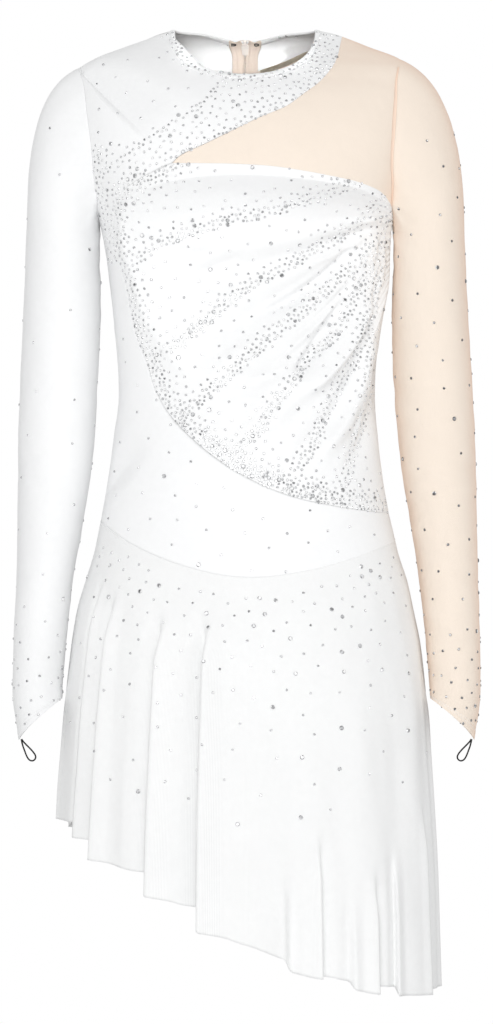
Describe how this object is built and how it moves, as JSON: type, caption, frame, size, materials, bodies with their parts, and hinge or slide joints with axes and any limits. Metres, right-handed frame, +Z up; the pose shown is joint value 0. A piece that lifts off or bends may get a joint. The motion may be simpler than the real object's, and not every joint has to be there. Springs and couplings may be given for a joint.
{
  "type": "figure skating dress",
  "caption": "Long-sleeved figure skating dress, filled out as when worn, with a gathered front, one net sleeve and a slanting fluted skirt.",
  "frame": {"origin": "midway between the two neck points, on the level where the wearer's shoulders carry the dress", "axes": "+Z up, -Y towards the front, +X towards the wearer's left"},
  "size_m": [0.4652, 0.3203, 0.9565],
  "materials": {
    "white_stretch": "matte stretch knit with a faint satin sheen",
    "skin_net": "fine matte stretch net",
    "skirt_mesh": "soft sheer mesh",
    "zip_tape": "woven tape",
    "seam_thread": "overlocked thread",
    "zip_paint": "painted satin",
    "black_wire": "black enamel",
    "elastic": "matte braided elastic",
    "crystal": "foiled cut glass"
  },
  "bodies": {
    "dress": {"front_base": "white_stretch", "front_net": "skin_net", "front_drape": "white_stretch", "back_right": "white_stretch", "back_left_band": "white_stretch", "back_left_net": "skin_net", "back_left_lower": "white_stretch", "neck_binding": "white_stretch", "sleeve_white": "white_stretch", "sleeve_net": "skin_net", "skirt_front": "skirt_mesh", "skirt_back": "skirt_mesh", "zip_tape_right": "zip_tape", "zip_tape_left": "zip_tape", "seam_strip": "seam_thread", "zip_slider": "zip_paint", "hook": "black_wire", "eye": "black_wire", "finger_loop_white": "elastic", "finger_loop_net": "elastic"},
    "pull": {"zip_pull": "zip_paint"}
  },
  "joints": [
    {"name": "zip_pull_hinge", "type": "hinge", "parent": "dress", "child": "pull", "pos_m": [0, 0.05667, -0.00983], "axis": [1, 0, 0], "range_deg": [0, 150]}
  ]
}
